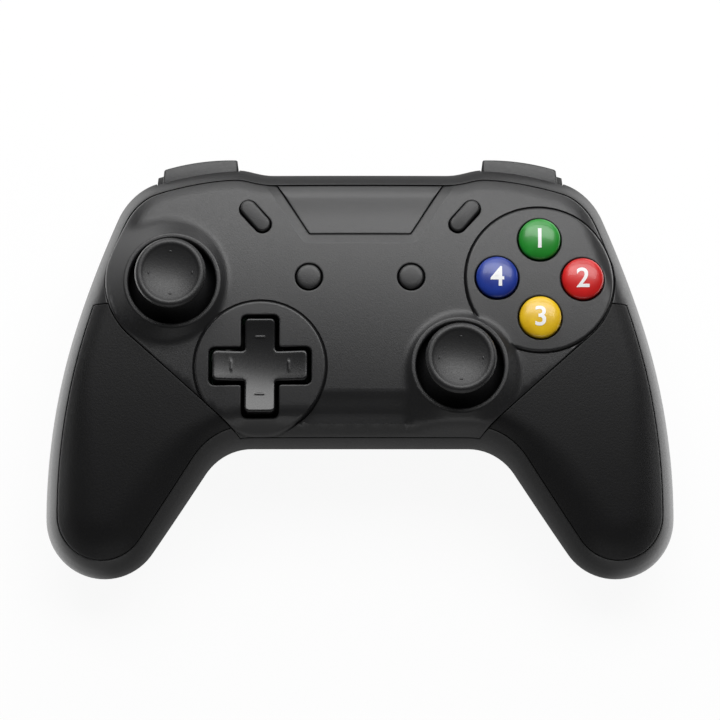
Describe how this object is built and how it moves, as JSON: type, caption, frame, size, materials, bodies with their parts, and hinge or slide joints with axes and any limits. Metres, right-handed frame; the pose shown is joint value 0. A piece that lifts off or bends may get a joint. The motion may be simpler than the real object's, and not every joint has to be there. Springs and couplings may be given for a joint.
{
  "type": "gamepad controller",
  "caption": "Hand-held game controller with offset thumb sticks, cross pad, coloured face buttons, menu buttons, bumpers and triggers.",
  "frame": {"origin": "middle of the controller's footprint, on the surface that it lies on", "axes": "+X to the player's right, +Y from the handle tips to the shoulders, +Z out of the face"},
  "size_m": [0.155, 0.1037, 0.0481],
  "materials": {
    "shell_black": "fine matt texture",
    "grip_black": "matt soft-touch",
    "panel_black": "satin",
    "stick_rubber": "matt",
    "button_black": "semi-gloss",
    "button_green": "gloss",
    "button_red": "gloss",
    "button_yellow": "gloss",
    "button_blue": "gloss",
    "steel": "plain",
    "inner_plastic": "moulded",
    "pad_rubber": "silicone",
    "board_green": "solder mask",
    "battery_wrap": "shrink wrap",
    "weight_metal": "sintered"
  },
  "bodies": {
    "case": {"front_shell": "shell_black", "rear_shell": "shell_black", "left_grip": "grip_black", "right_grip": "grip_black", "center_panel": "panel_black", "case_screws": "steel", "left_stick_housing": "steel", "right_stick_housing": "steel", "dpad_post": "inner_plastic", "dpad_pad": "pad_rubber", "face_button_pad": "pad_rubber", "menu_pad": "pad_rubber", "left_trigger_pin": "steel", "right_trigger_pin": "steel", "left_trigger_spring": "steel", "right_trigger_spring": "steel", "left_bumper_pin": "steel", "right_bumper_pin": "steel", "left_bracket": "inner_plastic", "right_bracket": "inner_plastic", "left_bumper_switch": "inner_plastic", "right_bumper_switch": "inner_plastic", "main_board": "board_green", "board_screws": "steel", "usb_c_port": "steel", "battery": "battery_wrap", "left_rumble_motor": "steel", "right_rumble_motor": "steel"},
    "left_ring": {"left_gimbal_ring": "inner_plastic"},
    "left_hub": {"left_gimbal_hub": "inner_plastic"},
    "left_stick": {"left_thumb_stick": "stick_rubber"},
    "right_ring": {"right_gimbal_ring": "inner_plastic"},
    "right_hub": {"right_gimbal_hub": "inner_plastic"},
    "right_stick": {"right_thumb_stick": "stick_rubber"},
    "dpad_ball": {"dpad_ball": "steel"},
    "dpad": {"dpad": "button_black"},
    "green_button": {"green_button": "button_green"},
    "red_button": {"red_button": "button_red"},
    "yellow_button": {"yellow_button": "button_yellow"},
    "blue_button": {"blue_button": "button_blue"},
    "left_menu_button": {"left_menu_button": "button_black"},
    "left_slant_button": {"left_slant_button": "button_black"},
    "right_menu_button": {"right_menu_button": "button_black"},
    "right_slant_button": {"right_slant_button": "button_black"},
    "left_bumper": {"left_bumper": "button_black"},
    "right_bumper": {"right_bumper": "button_black"},
    "left_trigger": {"left_trigger": "button_black"},
    "right_trigger": {"right_trigger": "button_black"},
    "left_rumble_weight": {"left_rumble_weight": "weight_metal"},
    "right_rumble_weight": {"right_rumble_weight": "weight_metal"}
  },
  "joints": [
    {"name": "left_stick_up_down", "type": "hinge", "parent": "case", "child": "left_ring", "pos_m": [-0.0459, 0.018, 0.027], "axis": [1, 0, 0], "range_deg": [-18, 18], "stiffness_Nm_per_rad": 0.06},
    {"name": "left_stick_left_right", "type": "hinge", "parent": "left_ring", "child": "left_hub", "pos_m": [-0.0459, 0.018, 0.027], "axis": [0, 1, 0], "range_deg": [-18, 18], "stiffness_Nm_per_rad": 0.06},
    {"name": "left_stick_click", "type": "slide", "parent": "left_hub", "child": "left_stick", "axis": [0, 0, -1], "range_m": [0, 0.0005], "stiffness_N_per_m": 3000},
    {"name": "right_stick_up_down", "type": "hinge", "parent": "case", "child": "right_ring", "pos_m": [0.02435, -0.003, 0.027], "axis": [1, 0, 0], "range_deg": [-18, 18], "stiffness_Nm_per_rad": 0.06},
    {"name": "right_stick_left_right", "type": "hinge", "parent": "right_ring", "child": "right_hub", "pos_m": [0.02435, -0.003, 0.027], "axis": [0, 1, 0], "range_deg": [-18, 18], "stiffness_Nm_per_rad": 0.06},
    {"name": "right_stick_click", "type": "slide", "parent": "right_hub", "child": "right_stick", "axis": [0, 0, -1], "range_m": [0, 0.0005], "stiffness_N_per_m": 3000},
    {"name": "dpad_up_down", "type": "hinge", "parent": "case", "child": "dpad_ball", "pos_m": [-0.02435, -0.003, 0.0275], "axis": [1, 0, 0], "range_deg": [-4, 4], "stiffness_Nm_per_rad": 0.15, "deforming": ["dpad_pad"]},
    {"name": "dpad_left_right", "type": "hinge", "parent": "dpad_ball", "child": "dpad", "pos_m": [-0.02435, -0.003, 0.0275], "axis": [0, 1, 0], "range_deg": [-4, 4], "stiffness_Nm_per_rad": 0.15, "deforming": ["dpad_pad"]},
    {"name": "green_button_press", "type": "slide", "parent": "case", "child": "green_button", "axis": [0, 0, -1], "range_m": [0, 0.0012], "stiffness_N_per_m": 400, "deforming": ["face_button_pad"]},
    {"name": "red_button_press", "type": "slide", "parent": "case", "child": "red_button", "axis": [0, 0, -1], "range_m": [0, 0.0012], "stiffness_N_per_m": 400, "deforming": ["face_button_pad"]},
    {"name": "yellow_button_press", "type": "slide", "parent": "case", "child": "yellow_button", "axis": [0, 0, -1], "range_m": [0, 0.0012], "stiffness_N_per_m": 400, "deforming": ["face_button_pad"]},
    {"name": "blue_button_press", "type": "slide", "parent": "case", "child": "blue_button", "axis": [0, 0, -1], "range_m": [0, 0.0012], "stiffness_N_per_m": 400, "deforming": ["face_button_pad"]},
    {"name": "left_menu_press", "type": "slide", "parent": "case", "child": "left_menu_button", "axis": [0, 0, -1], "range_m": [0, 0.0008], "stiffness_N_per_m": 500, "deforming": ["menu_pad"]},
    {"name": "left_slant_press", "type": "slide", "parent": "case", "child": "left_slant_button", "axis": [0, 0, -1], "range_m": [0, 0.0008], "stiffness_N_per_m": 500, "deforming": ["menu_pad"]},
    {"name": "right_menu_press", "type": "slide", "parent": "case", "child": "right_menu_button", "axis": [0, 0, -1], "range_m": [0, 0.0008], "stiffness_N_per_m": 500, "deforming": ["menu_pad"]},
    {"name": "right_slant_press", "type": "slide", "parent": "case", "child": "right_slant_button", "axis": [0, 0, -1], "range_m": [0, 0.0008], "stiffness_N_per_m": 500, "deforming": ["menu_pad"]},
    {"name": "left_bumper_press", "type": "hinge", "parent": "case", "child": "left_bumper", "pos_m": [-0.0273, 0.0425, 0.0252], "axis": [0, 0, 1], "range_deg": [0, 3], "stiffness_Nm_per_rad": 0.3},
    {"name": "right_bumper_press", "type": "hinge", "parent": "case", "child": "right_bumper", "pos_m": [0.0273, 0.0425, 0.0252], "axis": [0, 0, -1], "range_deg": [0, 3], "stiffness_Nm_per_rad": 0.3},
    {"name": "left_trigger_pull", "type": "hinge", "parent": "case", "child": "left_trigger", "pos_m": [-0.038, 0.0385, 0.0165], "axis": [-1, 0, 0], "range_deg": [0, 17], "stiffness_Nm_per_rad": 0.12, "deforming": ["left_trigger_spring"]},
    {"name": "right_trigger_pull", "type": "hinge", "parent": "case", "child": "right_trigger", "pos_m": [0.038, 0.0385, 0.0165], "axis": [-1, 0, 0], "range_deg": [0, 17], "stiffness_Nm_per_rad": 0.12, "deforming": ["right_trigger_spring"]},
    {"name": "left_rumble_spin", "type": "hinge", "parent": "case", "child": "left_rumble_weight", "pos_m": [-0.058, -0.029, 0.014], "axis": [0, 1, 0], "continuous": true},
    {"name": "right_rumble_spin", "type": "hinge", "parent": "case", "child": "right_rumble_weight", "pos_m": [0.058, -0.029, 0.014], "axis": [0, 1, 0], "continuous": true}
  ]
}
